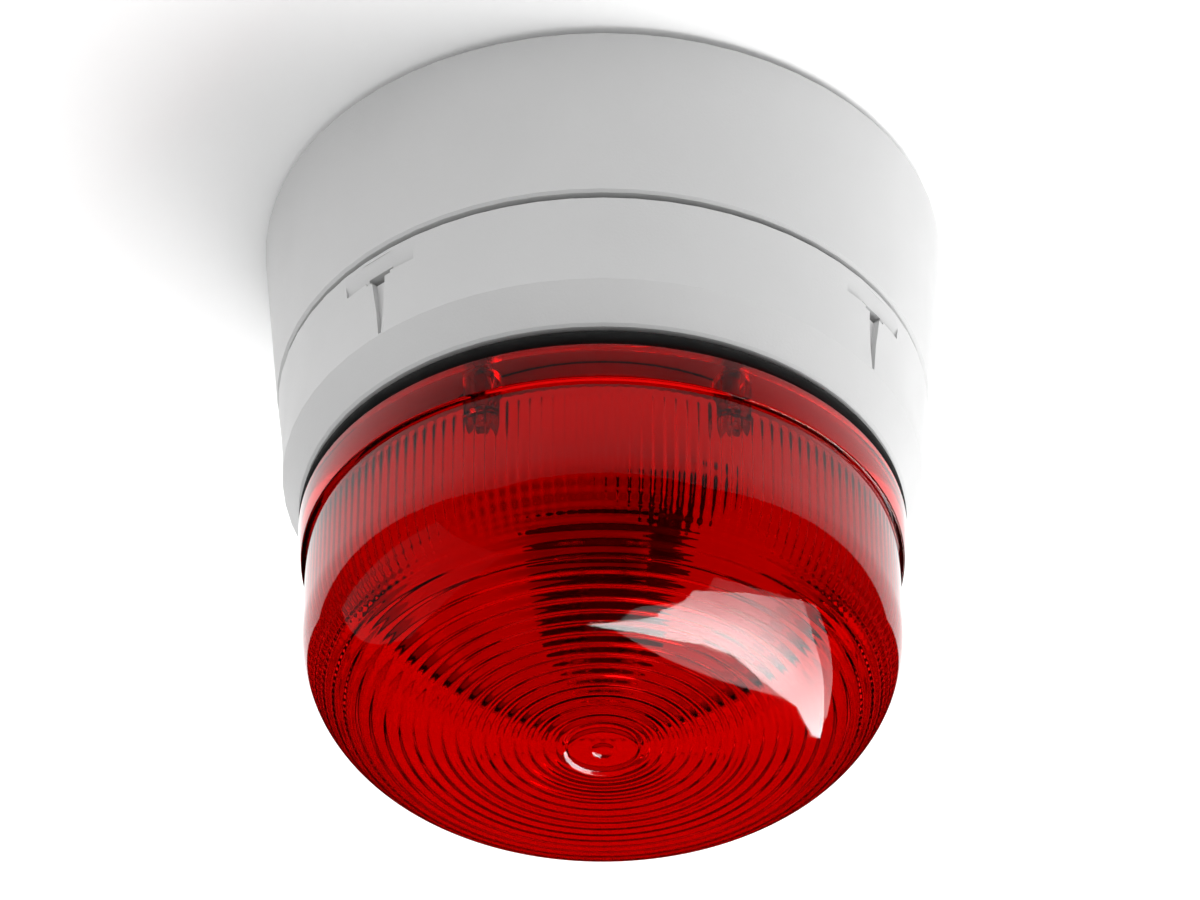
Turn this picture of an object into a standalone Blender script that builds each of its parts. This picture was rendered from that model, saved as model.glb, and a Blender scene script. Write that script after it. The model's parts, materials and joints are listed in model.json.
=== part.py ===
"""Ceiling horn strobe: a deep mounting base, a twist-off head with a sounder and a flash, and a red lens.

Frame: the origin is the centre of the face against the ceiling, +Z is up, and the device hangs along -Z.
Every length below is in millimetres and every helper scales it to Blender's metres.
An azimuth is in degrees from the front (-Y), positive towards +X.
"""

import math

import bmesh
import bpy
from mathutils import Matrix, Vector

MM = 0.001
MERGE = 0.00001
GAP = 0.3
ROUND = 64
SMALL_ROUND = 16

# Mounting base
BASE_RADIUS = 50.0
BASE_RIM_RADIUS = 47.3
BASE_HEIGHT = 29.0
BASE_WALL = 2.4
BACK_THICKNESS = 2.5
SHADOW_GAP = 1.4
SHADOW_GAP_DEPTH = 1.6
EDGE = 0.4
SLOT_WIDTH = 4.0
SLOT_LENGTH = 10.0
SLOT_CENTRE_RADIUS = 30.0
SLOT_AZIMUTHS = (45, 135, 225, 315)
CABLE_HOLE_RADIUS = 9.0
CABLE_HOLE_Y = 13.5
GROMMET_RECESS_RADIUS = 12.0
GROMMET_RECESS_DEPTH = 1.2
GROMMET_BORE_RADIUS = 5.5
CONDUIT_AZIMUTHS = {"left": 198, "right": 162}
CONDUIT_RADIUS = 10.25
CONDUIT_Z = -13.3
CONDUIT_FACE = 47.0
CONDUIT_PAD = (43.0, 46.0)
CONDUIT_PAD_WIDTH = 24.0
PLUG_FLANGE_RADIUS = 11.8

# Bayonet ring, which is screwed into the base
RING_TOP = -24.5
RING_THICKNESS = 2.5
RING_INNER_RADIUS = 31.5
RING_OUTER_RADIUS = 44.6
RING_SCREW_RADIUS = 38.8
RING_SCREW_AZIMUTHS = (48, 138, 226, 320)
HOOK_AZIMUTHS = (10, 104, 190, 280)
HOOK_HALF_ANGLE = 5.0
HOOK_FOOT_OVERHANG = 0.6
HOOK_STEM = (36.0, 38.5)
HOOK_FOOT_RADIUS = 41.8
HOOK_FOOT_THICKNESS = 2.0
TWIST = 18.0
TWIST_CLEARANCE = 1.2

# Terminal board, inside the ring
BOARD_TOP = -15.6
BOARD_THICKNESS = 1.6
BOARD_RADIUS = 30.5
BOARD_SCREW_RADIUS = 26.5
BOARD_SCREW_AZIMUTHS = (0, 105, 205)
TERMINALS = 4
TERMINAL_PITCH = 5.0
TERMINAL_BLOCK_SIZE = (22.0, 9.4, 9.3)
TERMINAL_BLOCK_Y = -9.0
CONTACT_RADIUS = 24.0
CONTACT_AZIMUTHS = (80, 262, 300)
CONTACT_TIP = -27.4

# Head
SEAM = 0.8
HEAD_TOP = -BASE_HEIGHT - SEAM
HEAD_RADIUS = 47.1
SPIGOT_RADII = (42.3, 44.3)
SPIGOT_TOP = -27.4
WAIST = (46.0, -43.9)
LENS_SEAT = (43.5, -50.1)
FLOOR_THICKNESS = 2.0
FLOOR_OPENING_RADIUS = 34.3
POST_RADIUS = 36.5
POST_AZIMUTHS = (60, 180 - 38, 290)
POST_TOP = -35.5
VENT_AZIMUTHS = (-42.5, 55.5, 145, 228)
VENT_WIDTH = 13.0
VENT_TOP = 0.9
VENT_FOOT = 4.0
VENT_SCOOP_DEPTH = (0.2, 1.5)
VENT_HOLE = (4.6, 1.4)
VENT_GROOVE = (2.6, 0.5, 10.0)

COVER_TOP = -29.5
COVER_THICKNESS = 3.0
COVER_RADIUS = 41.9
PCB_TOP = -33.6
PCB_THICKNESS = 1.6
PCB_RADIUS = 40.8
DIP_CENTRE = (-9.0, 15.0)
DIP_WAYS = 6
DIP_PITCH = 2.54
DIP_SIZE = (17.0, 9.0, 2.7)
DIP_TRAVEL = 1.5
DIP_ON = (1, 4)
TRIMMER_CENTRE = (13.0, 15.0)
TRIMMER_SIZE = (6.6, 6.6, 2.5)

SOUNDER_RADIUS = 16.0
SOUNDER_BOTTOM = -44.5
STROBE_BOARD_TOP = -47.0
STROBE_BOARD_RADIUS = 32.9
SPACER_RADIUS = 28.0
SPACER_AZIMUTHS = (90, 215, 325)
COIL_CENTRE = (9.8, -12.2)

# Lens and flash
SEAL_RADII = (41.2, 43.4)
SEAL_THICKNESS = 2.7
LENS_TOP = LENS_SEAT[1] - GAP - SEAL_THICKNESS - 0.2
LENS_TOP_RADIUS = 43.4
LENS_WALL = 2.2
COLLAR_BOTTOM = -58.9
COLLAR_BOTTOM_RADIUS = 42.9
COLLAR_STEP = 0.5
SHOULDER_TOP = -71.6
SHOULDER_TOP_RADIUS = 42.2
SHOULDER_RADIUS = 16.5
DOME_DROP = 19.5
LENS_SCREW_RADIUS = 38.0
LENS_SCREW_AZIMUTHS = (-25, 27, 155, 205)
LENS_BOSS_BOTTOM = -61.0
REFLECTOR_TOP = -51.4
REFLECTOR_RADIUS = 33.8
SOCKET_TOP = -60.2
SOCKET_RADIUS = 10.4
SOCKET_BOTTOM = -63.4
TUBE_LEG_X = 4.2
TUBE_RADIUS = 2.0
TUBE_BOTTOM = -77.5


# ---------------------------------------------------------------- helpers


def collection(name):
    made = bpy.data.collections.new(name)
    bpy.context.scene.collection.children.link(made)
    return made


def material(name, colour, roughness, metallic=0.0):
    made = bpy.data.materials.new(name)
    made.use_nodes = True
    shader = made.node_tree.nodes["Principled BSDF"]
    shader.inputs["Base Color"].default_value = (*colour, 1.0)
    shader.inputs["Roughness"].default_value = roughness
    shader.inputs["Metallic"].default_value = metallic
    made.diffuse_color = (*colour, 1.0)
    return made


def around(azimuth, radius):
    """The point at this azimuth and distance from the device's axis."""
    angle = math.radians(azimuth)
    return radius * math.sin(angle), -radius * math.cos(angle)


def new_object(name, mesh, finish=None):
    made = bpy.data.objects.new(name, mesh)
    PARTS.objects.link(made)
    if finish is not None:
        mesh.materials.append(FINISHES[finish])
    return made


def mesh_from(name, bm):
    bmesh.ops.scale(bm, vec=(MM, MM, MM), verts=bm.verts)
    mesh = bpy.data.meshes.new(name)
    bm.to_mesh(mesh)
    bm.free()
    return mesh


def smoothed(made, angle=35):
    made.data.shade_smooth()
    made.data.set_sharp_from_angle(angle=math.radians(angle))


def turned(name, profile, finish=None, steps=ROUND, centre=(0, 0)):
    """A profile of (radius, z) points turned about Z, which is closed if it starts off the axis."""
    bm = bmesh.new()
    points = [bm.verts.new((radius, 0, z)) for radius, z in profile]
    for first, second in zip(points, points[1:]):
        bm.edges.new((first, second))
    if profile[0][0] > 0:
        bm.edges.new((points[-1], points[0]))
    made = new_object(name, mesh_from(name, bm), finish)
    made.location = (centre[0] * MM, centre[1] * MM, 0)
    screw = made.modifiers.new("turn", "SCREW")
    screw.axis = "Z"
    screw.steps = screw.render_steps = steps
    screw.use_merge_vertices = True
    screw.merge_threshold = MERGE
    screw.use_smooth_shade = False
    return made


def cylinder(name, radius, z_low, z_high, finish=None, centre=(0, 0), steps=SMALL_ROUND, end_radius=None):
    """An upright cylinder, or a cone with end_radius at its low end."""
    bm = bmesh.new()
    bmesh.ops.create_cone(
        bm,
        cap_ends=True,
        segments=steps,
        radius1=radius if end_radius is None else end_radius,
        radius2=radius,
        depth=z_high - z_low,
    )
    made = new_object(name, mesh_from(name, bm), finish)
    made.location = (centre[0] * MM, centre[1] * MM, (z_low + z_high) / 2 * MM)
    return made


def block(name, size, centre, finish=None, azimuth=0):
    bm = bmesh.new()
    bmesh.ops.create_cube(bm, size=1)
    bmesh.ops.scale(bm, vec=size, verts=bm.verts)
    made = new_object(name, mesh_from(name, bm), finish)
    made.location = [value * MM for value in centre]
    made.rotation_euler.z = math.radians(azimuth)
    return made


def solid_mesh(curve_object):
    """The closed mesh of a curve object, with its caps welded. The curve is removed."""
    graph = bpy.context.evaluated_depsgraph_get()
    mesh = bpy.data.meshes.new_from_object(curve_object.evaluated_get(graph))
    bm = bmesh.new()
    bm.from_mesh(mesh)
    bmesh.ops.remove_doubles(bm, verts=bm.verts, dist=MERGE / 10)
    bmesh.ops.recalc_face_normals(bm, faces=bm.faces)
    if bm.calc_volume(signed=True) < 0:
        bmesh.ops.reverse_faces(bm, faces=bm.faces)
    bm.to_mesh(mesh)
    bm.free()
    bpy.data.objects.remove(curve_object)
    return mesh


def prism(name, outline, z_low, z_high, finish=None):
    """A flat outline of (x, y) points made z_high - z_low thick."""
    curve = bpy.data.curves.new(name, "CURVE")
    curve.dimensions = "2D"
    curve.fill_mode = "BOTH"
    curve.extrude = (z_high - z_low) / 2 * MM
    spline = curve.splines.new("POLY")
    spline.points.add(len(outline) - 1)
    for point, (x, y) in zip(spline.points, outline):
        point.co = (x * MM, y * MM, 0, 1)
    spline.use_cyclic_u = True
    flat = bpy.data.objects.new(name + "_outline", curve)
    PARTS.objects.link(flat)
    bpy.context.view_layer.update()
    made = new_object(name, solid_mesh(flat), finish)
    made.location.z = (z_low + z_high) / 2 * MM
    return made


def ring_sector(inner, outer, start, end):
    """The outline of a part of a ring between two azimuths."""
    steps = max(2, round((end - start) / 4))
    azimuths = [start + (end - start) * step / steps for step in range(steps + 1)]
    return [around(a, inner) for a in azimuths] + [around(a, outer) for a in reversed(azimuths)]


def stadium(length, width, steps=6):
    """The outline of a slot along X."""
    reach = (length - width) / 2
    outline = []
    for side in (1, -1):
        for step in range(steps + 1):
            angle = math.pi * (step / steps - 0.5)
            across, along = width / 2 * math.cos(angle), width / 2 * math.sin(angle)
            outline.append((side * (reach + across), side * along))
    return outline


def strip(path, thickness):
    """The outline of a bent strip of even thickness along a path of (x, y) points."""
    sides = ([], [])
    last = len(path) - 1
    for index, (x, y) in enumerate(path):
        before, after = path[max(index - 1, 0)], path[min(index + 1, last)]
        turns = []
        for (x1, y1), (x2, y2) in ((before, (x, y)), ((x, y), after)):
            length = math.hypot(x2 - x1, y2 - y1)
            if length > 0:
                turns.append((-(y2 - y1) / length, (x2 - x1) / length))
        normal_x = sum(n[0] for n in turns)
        normal_y = sum(n[1] for n in turns)
        scale = thickness / 2 * len(turns) / (normal_x**2 + normal_y**2)
        sides[0].append((x + normal_x * scale, y + normal_y * scale))
        sides[1].append((x - normal_x * scale, y - normal_y * scale))
    return sides[0] + sides[1][::-1]


def boolean(part, other, operation):
    modifier = part.modifiers.new(other.name, "BOOLEAN")
    modifier.operation = operation
    modifier.object = other
    PARTS.objects.unlink(other)
    CUTTERS.objects.link(other)
    other.hide_render = True
    other.display_type = "WIRE"


def cut(part, *cutters):
    for cutter in cutters:
        boolean(part, cutter, "DIFFERENCE")


def join(part, *additions):
    for addition in additions:
        boolean(part, addition, "UNION")


def lay_along_azimuth(made, azimuth, distance, z):
    """Turns an upright piece so that its own +Z points outwards, with its origin at this distance."""
    x, y = around(azimuth, distance)
    made.matrix_world = (
        Matrix.Translation((x * MM, y * MM, z * MM))
        @ Matrix.Rotation(math.radians(azimuth), 4, "Z")
        @ Matrix.Rotation(math.radians(90), 4, "X")
    )
    return made


def screw(name, head_radius, head_z, shank_radius, shank_z, finish="zinc", centre=(0, 0)):
    """A slotted screw along Z. head_z runs from its free face to its shank, which ends at shank_z."""
    free, seat = head_z
    chamfer = 0.35 if seat > free else -0.35
    profile = [
        (0, free),
        (head_radius - abs(chamfer), free),
        (head_radius, free + chamfer),
        (head_radius, seat),
        (shank_radius, seat),
        (shank_radius, shank_z),
        (0, shank_z),
    ]
    if seat > free:
        profile.reverse()
    made = turned(name, profile, finish, steps=10, centre=centre)
    cut(made, block(name + "_slot", (2.2 * head_radius, 0.7, 1.2), (*centre, free), azimuth=30))
    smoothed(made)


# ---------------------------------------------------------------- mounting base


def base_inner_radius(z):
    """The radius of the base's inner wall at this height."""
    top, bottom = BASE_RADIUS - BASE_WALL, BASE_RIM_RADIUS - BASE_WALL
    return top + (bottom - top) * (-z / BASE_HEIGHT)


def mounting_base():
    rim = -BASE_HEIGHT
    base = turned(
        "mounting_base",
        [
            (0, 0),
            (BASE_RADIUS - SHADOW_GAP_DEPTH, 0),
            (BASE_RADIUS - SHADOW_GAP_DEPTH, -SHADOW_GAP),
            (BASE_RADIUS - EDGE, -SHADOW_GAP),
            (BASE_RADIUS, -SHADOW_GAP - EDGE),
            (BASE_RIM_RADIUS, rim + EDGE),
            (BASE_RIM_RADIUS - EDGE, rim),
            (base_inner_radius(rim), rim),
            (base_inner_radius(-BACK_THICKNESS), -BACK_THICKNESS),
            (0, -BACK_THICKNESS),
        ],
        "white_plastic",
    )
    overlap = -BACK_THICKNESS + 1
    for index, azimuth in enumerate(RING_SCREW_AZIMUTHS):
        at = around(azimuth, RING_SCREW_RADIUS)
        join(base, cylinder(f"ring_boss_{index}", 3.7, RING_TOP + GAP, overlap, centre=at))
        cut(base, cylinder(f"ring_pilot_{index}", 1.8, RING_TOP - 1, -14, centre=at, steps=8))
    for index, azimuth in enumerate(BOARD_SCREW_AZIMUTHS):
        at = around(azimuth, BOARD_SCREW_RADIUS)
        join(base, cylinder(f"board_boss_{index}", 3.0, BOARD_TOP + GAP, overlap, centre=at, steps=12))
        cut(base, cylinder(f"board_pilot_{index}", 1.5, BOARD_TOP - 1, -8, centre=at, steps=8))
    for side, azimuth in CONDUIT_AZIMUTHS.items():
        add_conduit_entry(base, side, azimuth)
    for index, azimuth in enumerate(SLOT_AZIMUTHS):
        slot = prism(f"fixing_slot_{index}", stadium(SLOT_LENGTH, SLOT_WIDTH), -BACK_THICKNESS - 1, 1)
        slot.location.x, slot.location.y = [value * MM for value in around(azimuth, SLOT_CENTRE_RADIUS)]
        slot.rotation_euler.z = math.radians(azimuth - 90)
        cut(base, slot)
    cable = (0, CABLE_HOLE_Y)
    cut(
        base,
        cylinder("cable_hole", CABLE_HOLE_RADIUS, -BACK_THICKNESS - 1, 1, centre=cable, steps=24),
        cylinder("grommet_recess", GROMMET_RECESS_RADIUS, -GROMMET_RECESS_DEPTH, 1, centre=cable, steps=24),
    )
    smoothed(base)


def add_conduit_entry(base, side, azimuth):
    """A flat pad inside the wall, with a round hole and a flat seat for the blanking plug."""
    pad_inner, pad_outer = CONDUIT_PAD
    middle = around(azimuth, (pad_inner + pad_outer) / 2)
    pad_top = -BACK_THICKNESS + 1
    pad_bottom = RING_TOP + GAP
    pad = block(
        f"conduit_pad_{side}",
        (CONDUIT_PAD_WIDTH, pad_outer - pad_inner, pad_top - pad_bottom),
        (*middle, (pad_top + pad_bottom) / 2),
        azimuth=azimuth,
    )
    join(base, pad)
    hole = cylinder(f"conduit_hole_{side}", CONDUIT_RADIUS, -8, 8, steps=24)
    seat = cylinder(f"conduit_seat_{side}", PLUG_FLANGE_RADIUS + GAP, 0, 6, steps=24)
    seat.data.transform(Matrix.Translation((0, 0, 3 * MM)))
    cut(
        base,
        lay_along_azimuth(seat, azimuth, CONDUIT_FACE, CONDUIT_Z),
        lay_along_azimuth(hole, azimuth, CONDUIT_FACE, CONDUIT_Z),
    )


def conduit_plug(side):
    """A blanking plug with a domed flange, which closes a 20 mm conduit entry."""
    shank = CONDUIT_RADIUS - 0.5
    plug = turned(
        f"conduit_plug_{side}",
        [
            (0, 2.0),
            (7.5, 2.0),
            (PLUG_FLANGE_RADIUS - 0.6, 1.5),
            (PLUG_FLANGE_RADIUS, 0.9),
            (PLUG_FLANGE_RADIUS, 0.2),
            (shank, 0.2),
            (shank, -5.0),
            (shank - 1.6, -5.0),
            (shank - 1.6, -0.6),
            (0, -0.6),
        ],
        "grey_plastic",
        steps=24,
    )
    cut(plug, block(f"plug_slot_{side}", (12, 1.8, 2.4), (0, 0, 2.0)))
    lay_along_azimuth(plug, CONDUIT_AZIMUTHS[side], CONDUIT_FACE, CONDUIT_Z)
    plug.modifiers[-1].object.matrix_world = plug.matrix_world @ Matrix.Translation((0, 0, 2.0 * MM))
    smoothed(plug)


def cable_grommet():
    """A rubber ring, wide above and below the back plate and narrow in its hole."""
    recess = GROMMET_RECESS_DEPTH
    waist = CABLE_HOLE_RADIUS - GAP
    flange = GROMMET_RECESS_RADIUS - 0.5
    grommet = turned(
        "cable_grommet",
        [
            (GROMMET_BORE_RADIUS + 0.6, -0.15),
            (flange, -0.15),
            (flange, -recess + 0.2),
            (waist, -recess + 0.2),
            (waist, -BACK_THICKNESS - GAP),
            (flange - 0.6, -BACK_THICKNESS - GAP),
            (flange - 1.4, -BACK_THICKNESS - 2.2),
            (GROMMET_BORE_RADIUS, -BACK_THICKNESS - 2.2),
            (GROMMET_BORE_RADIUS, -0.75),
        ],
        "black_rubber",
        steps=24,
        centre=(0, CABLE_HOLE_Y),
    )
    smoothed(grommet)


def bayonet_ring():
    """The ring that the head's hooks turn into. Its windows are wide at one end for the hooks' feet."""
    bottom = RING_TOP - RING_THICKNESS
    ring = turned(
        "bayonet_ring",
        [
            (RING_OUTER_RADIUS, RING_TOP),
            (RING_OUTER_RADIUS, bottom),
            (RING_INNER_RADIUS, bottom),
            (RING_INNER_RADIUS, RING_TOP),
        ],
        "white_plastic",
    )
    inner = HOOK_STEM[0] - 0.4
    margin = HOOK_HALF_ANGLE + HOOK_FOOT_OVERHANG + TWIST_CLEARANCE
    for index, azimuth in enumerate(HOOK_AZIMUTHS):
        free = azimuth - TWIST
        narrow = ring_sector(inner, HOOK_STEM[1] + 0.4, free - margin, azimuth + margin)
        wide = ring_sector(inner, HOOK_FOOT_RADIUS + 0.5, free - margin, free + margin)
        cut(
            ring,
            prism(f"lock_window_{index}", narrow, bottom - 1, RING_TOP + 1),
            prism(f"entry_window_{index}", wide, bottom - 1, RING_TOP + 1),
        )
    for index, azimuth in enumerate(RING_SCREW_AZIMUTHS):
        at = around(azimuth, RING_SCREW_RADIUS)
        cut(
            ring,
            cylinder(f"ring_hole_{index}", 1.8, bottom - 1, RING_TOP + 1, centre=at, steps=8),
            cylinder(f"ring_sink_{index}", 3.1, bottom - 1, bottom + 1.5, centre=at, steps=12),
        )
    smoothed(ring)


def ring_screws():
    bottom = RING_TOP - RING_THICKNESS
    for index, azimuth in enumerate(RING_SCREW_AZIMUTHS):
        at = around(azimuth, RING_SCREW_RADIUS)
        screw(f"ring_screw_{index + 1}", 2.7, (bottom, bottom + 1.3), 1.4, -16, centre=at)


def terminal_board():
    bottom = BOARD_TOP - BOARD_THICKNESS
    board = cylinder("terminal_board", BOARD_RADIUS, bottom, BOARD_TOP, "circuit_board", steps=48)
    cable = (0, CABLE_HOLE_Y)
    cut(board, cylinder("board_cable_hole", 7.5, bottom - 1, BOARD_TOP + 1, centre=cable, steps=16))
    for index, azimuth in enumerate(BOARD_SCREW_AZIMUTHS):
        at = around(azimuth, BOARD_SCREW_RADIUS)
        cut(board, cylinder(f"board_hole_{index}", 1.5, bottom - 1, BOARD_TOP + 1, centre=at, steps=8))
        screw(f"board_screw_{index + 1}", 2.5, (bottom - 1.8, bottom - 0.2), 1.2, -9, centre=at)
    smoothed(board)


def terminal_block():
    """A screw terminal block under the board, with a screw well and a wire mouth for each way."""
    width, depth, height = TERMINAL_BLOCK_SIZE
    top = BOARD_TOP - BOARD_THICKNESS - GAP
    bottom = top - height
    housing = block(
        "terminal_block",
        (width, depth, height),
        (0, TERMINAL_BLOCK_Y, (top + bottom) / 2),
        "green_plastic",
    )
    mouth_y = TERMINAL_BLOCK_Y + depth / 2
    for index in range(TERMINALS):
        x = (index - (TERMINALS - 1) / 2) * TERMINAL_PITCH
        at = (x, TERMINAL_BLOCK_Y)
        cut(
            housing,
            cylinder(f"terminal_well_{index}", 2.1, bottom - 1, bottom + 3.2, centre=at, steps=12),
            block(f"wire_mouth_{index}", (3.0, 6.0, 3.0), (x, mouth_y, top - 4)),
        )
        head_z = (bottom + 0.4, bottom + 1.6)
        screw(f"terminal_screw_{index + 1}", 1.75, head_z, 1.1, bottom + 2.9, "brass", at)


def contact_springs():
    """Leaf springs under the terminal board, level along the path of the head's pins."""
    thickness = 0.4
    top = BOARD_TOP - BOARD_THICKNESS - 0.2 - thickness / 2
    foot = CONTACT_TIP + thickness / 2
    path = [(-7.0, top), (-4.8, top), (-4.8, foot + 1.2), (-4.2, foot), (4.2, foot), (5.2, foot + 2.0)]
    outline = strip(path, thickness)
    for index, azimuth in enumerate(CONTACT_AZIMUTHS):
        spring = prism(f"contact_spring_{index + 1}", outline, -1.8, 1.8, "brass")
        middle = azimuth - TWIST / 2
        x, y = around(middle, CONTACT_RADIUS)
        spring.matrix_world = (
            Matrix.Translation((x * MM, y * MM, 0))
            @ Matrix.Rotation(math.radians(middle), 4, "Z")
            @ Matrix.Rotation(math.radians(90), 4, "X")
        )


# ---------------------------------------------------------------- head


def body_housing():
    """The head's outer shell. Its spigot goes up into the base, and its floor carries the lens."""
    seat_radius, seat = LENS_SEAT
    waist_radius, waist = WAIST
    floor_top = seat + FLOOR_THICKNESS
    inner, outer = SPIGOT_RADII
    housing = turned(
        "body_housing",
        [
            (outer, SPIGOT_TOP),
            (outer, HEAD_TOP),
            (HEAD_RADIUS - EDGE, HEAD_TOP),
            (HEAD_RADIUS, HEAD_TOP - EDGE),
            (46.5, -35.0),
            (waist_radius + 0.1, -39.5),
            (waist_radius, waist),
            (seat_radius, seat + EDGE),
            (seat_radius - EDGE, seat),
            (FLOOR_OPENING_RADIUS, seat),
            (FLOOR_OPENING_RADIUS, floor_top),
            (41.4, floor_top),
            (43.7, waist),
            (44.1, -35.5),
            (inner, -33.8),
            (inner, SPIGOT_TOP),
        ],
        "white_plastic",
    )
    for index, azimuth in enumerate(POST_AZIMUTHS):
        at = around(azimuth, POST_RADIUS)
        join(housing, cylinder(f"post_{index}", 3.2, seat + 1, POST_TOP, centre=at, steps=12))
        cut(housing, cylinder(f"post_pilot_{index}", 1.5, POST_TOP - 9, POST_TOP + 1, centre=at, steps=8))
    for index, azimuth in enumerate(LENS_SCREW_AZIMUTHS):
        at = around(azimuth, LENS_SCREW_RADIUS)
        cut(housing, cylinder(f"lens_hole_{index}", 1.6, seat - 1, floor_top + 1, centre=at, steps=8))
    for index, azimuth in enumerate(VENT_AZIMUTHS):
        cut_sound_vent(housing, index, azimuth)
    smoothed(housing)


def cut_sound_vent(housing, index, azimuth):
    """A T-shaped vent: a scoop that deepens downwards, a hole at its foot, and a groove that runs out."""
    shallow, deep = VENT_SCOOP_DEPTH
    scoop = [(1, -VENT_TOP), (-shallow, -VENT_TOP), (-deep, -VENT_FOOT), (1, -VENT_FOOT)]
    turn = Matrix.Rotation(math.radians(azimuth - 90), 4, "Z") @ Matrix.Rotation(math.radians(90), 4, "X")
    edge = Vector((*around(azimuth, HEAD_RADIUS), HEAD_TOP)) * MM
    wedge = prism(f"vent_scoop_{index}", scoop, -VENT_WIDTH / 2, VENT_WIDTH / 2)
    wedge.matrix_world = Matrix.Translation(edge) @ turn
    width, height = VENT_HOLE
    middle = (*around(azimuth, HEAD_RADIUS - 2), HEAD_TOP - VENT_FOOT + 0.3)
    hole = block(f"vent_hole_{index}", (width, 8, height), middle, azimuth=azimuth)
    upper, lower, length = VENT_GROOVE
    outline = [(-upper / 2, 0), (-lower / 2, -length), (lower / 2, -length), (upper / 2, 0)]
    groove = prism(f"vent_groove_{index}", outline, 0, 4)
    groove.data.transform(Matrix.Translation((0, 0, 2 * MM)))
    lay_along_azimuth(groove, azimuth, HEAD_RADIUS - deep, HEAD_TOP - VENT_FOOT + 0.2)
    groove.matrix_world = groove.matrix_world @ Matrix.Rotation(math.radians(3), 4, "X")
    cut(housing, wedge, hole, groove)


def back_cover():
    """The cover that closes the head from behind. It carries the bayonet hooks."""
    bottom = COVER_TOP - COVER_THICKNESS
    cover = cylinder("back_cover", COVER_RADIUS, bottom, COVER_TOP, "white_plastic", steps=48)
    foot_bottom = RING_TOP + GAP
    foot_top = foot_bottom + HOOK_FOOT_THICKNESS
    for index, azimuth in enumerate(HOOK_AZIMUTHS):
        start, end = azimuth - HOOK_HALF_ANGLE, azimuth + HOOK_HALF_ANGLE
        over = HOOK_FOOT_OVERHANG
        stem = ring_sector(HOOK_STEM[0], HOOK_STEM[1], start, end)
        foot = ring_sector(HOOK_STEM[0] + 0.4, HOOK_FOOT_RADIUS, start - over, end + over)
        join(
            cover,
            prism(f"hook_stem_{index}", stem, COVER_TOP - 1, foot_bottom + 1),
            prism(f"hook_foot_{index}", foot, foot_bottom, foot_top),
        )
    for index, azimuth in enumerate(POST_AZIMUTHS):
        at = around(azimuth, POST_RADIUS)
        cut(
            cover,
            cylinder(f"cover_hole_{index}", 1.6, bottom - 1, COVER_TOP + 1, centre=at, steps=8),
            cylinder(f"cover_sink_{index}", 3.0, COVER_TOP - 1.7, COVER_TOP + 1, centre=at, steps=12),
        )
    for index, azimuth in enumerate(CONTACT_AZIMUTHS):
        at = around(azimuth, CONTACT_RADIUS)
        cut(cover, cylinder(f"pin_hole_{index}", 1.9, bottom - 1, COVER_TOP + 1, centre=at, steps=8))
    middle = (bottom + COVER_TOP) / 2
    well = (TRIMMER_SIZE[0] + 1, TRIMMER_SIZE[1] + 1, 3)
    cut(
        cover,
        block("dip_window", (DIP_SIZE[0] + 1, DIP_SIZE[1] + 1, 6), (*DIP_CENTRE, middle)),
        cylinder("trimmer_window", 3.2, bottom - 1, COVER_TOP + 1, centre=TRIMMER_CENTRE, steps=16),
        block("trimmer_well", well, (*TRIMMER_CENTRE, bottom + 0.2)),
    )
    smoothed(cover)


def head_screws():
    for index, azimuth in enumerate(POST_AZIMUTHS):
        at = around(azimuth, POST_RADIUS)
        head_z = (COVER_TOP - 0.2, COVER_TOP - 1.5)
        screw(f"head_screw_{index + 1}", 2.6, head_z, 1.15, POST_TOP - 7, centre=at)


def main_board():
    bottom = PCB_TOP - PCB_THICKNESS
    board = cylinder("main_board", PCB_RADIUS, bottom, PCB_TOP, "circuit_board", steps=48)
    for index, azimuth in enumerate(POST_AZIMUTHS):
        at = around(azimuth, POST_RADIUS)
        cut(board, cylinder(f"main_board_hole_{index}", 1.6, bottom - 1, PCB_TOP + 1, centre=at, steps=8))
    smoothed(board)


def contact_pins():
    for index, azimuth in enumerate(CONTACT_AZIMUTHS):
        at = around(azimuth, CONTACT_RADIUS)
        top = CONTACT_TIP - GAP
        profile = [(0, top), (0.8, top), (1.4, top - 0.6), (1.4, PCB_TOP + 0.2), (0, PCB_TOP + 0.2)]
        smoothed(turned(f"contact_pin_{index + 1}", profile, "brass", steps=12, centre=at))


def tone_switch():
    """A six-way slide switch block that sets the tone and the flash rate. Each slider travels along Y."""
    bottom = PCB_TOP + 0.2
    top = bottom + DIP_SIZE[2]
    body = block("tone_switch_body", DIP_SIZE, (*DIP_CENTRE, (bottom + top) / 2), "blue_plastic")
    for index in range(DIP_WAYS):
        x = DIP_CENTRE[0] + (index - (DIP_WAYS - 1) / 2) * DIP_PITCH
        well = (1.5, 1.4 + DIP_TRAVEL + 1.0, 2.4)
        cut(body, block(f"slider_well_{index}", well, (x, DIP_CENTRE[1], top)))
        rest = DIP_CENTRE[1] + (DIP_TRAVEL / 2 if index in DIP_ON else -DIP_TRAVEL / 2)
        slider = block(f"tone_slider_{index + 1}", (1.1, 1.4, 1.7), (x, rest, top - 0.1), "white_plastic")
        slider.parent = HEAD_PIVOT


def volume_trimmer():
    bottom = PCB_TOP + 0.2
    top = bottom + TRIMMER_SIZE[2]
    body = block("volume_trimmer_body", TRIMMER_SIZE, (*TRIMMER_CENTRE, (bottom + top) / 2), "blue_plastic")
    cut(body, cylinder("trimmer_bore", 2.6, top - 1.2, top + 1, centre=TRIMMER_CENTRE, steps=16))
    rotor = cylinder("volume_trimmer_rotor", 2.3, top - 0.9, top + 0.7, "white_plastic", TRIMMER_CENTRE)
    arrow = (*TRIMMER_CENTRE, top + 0.7)
    cut(rotor, block("rotor_slot", (0.7, 3.4, 1.0), arrow))


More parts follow.
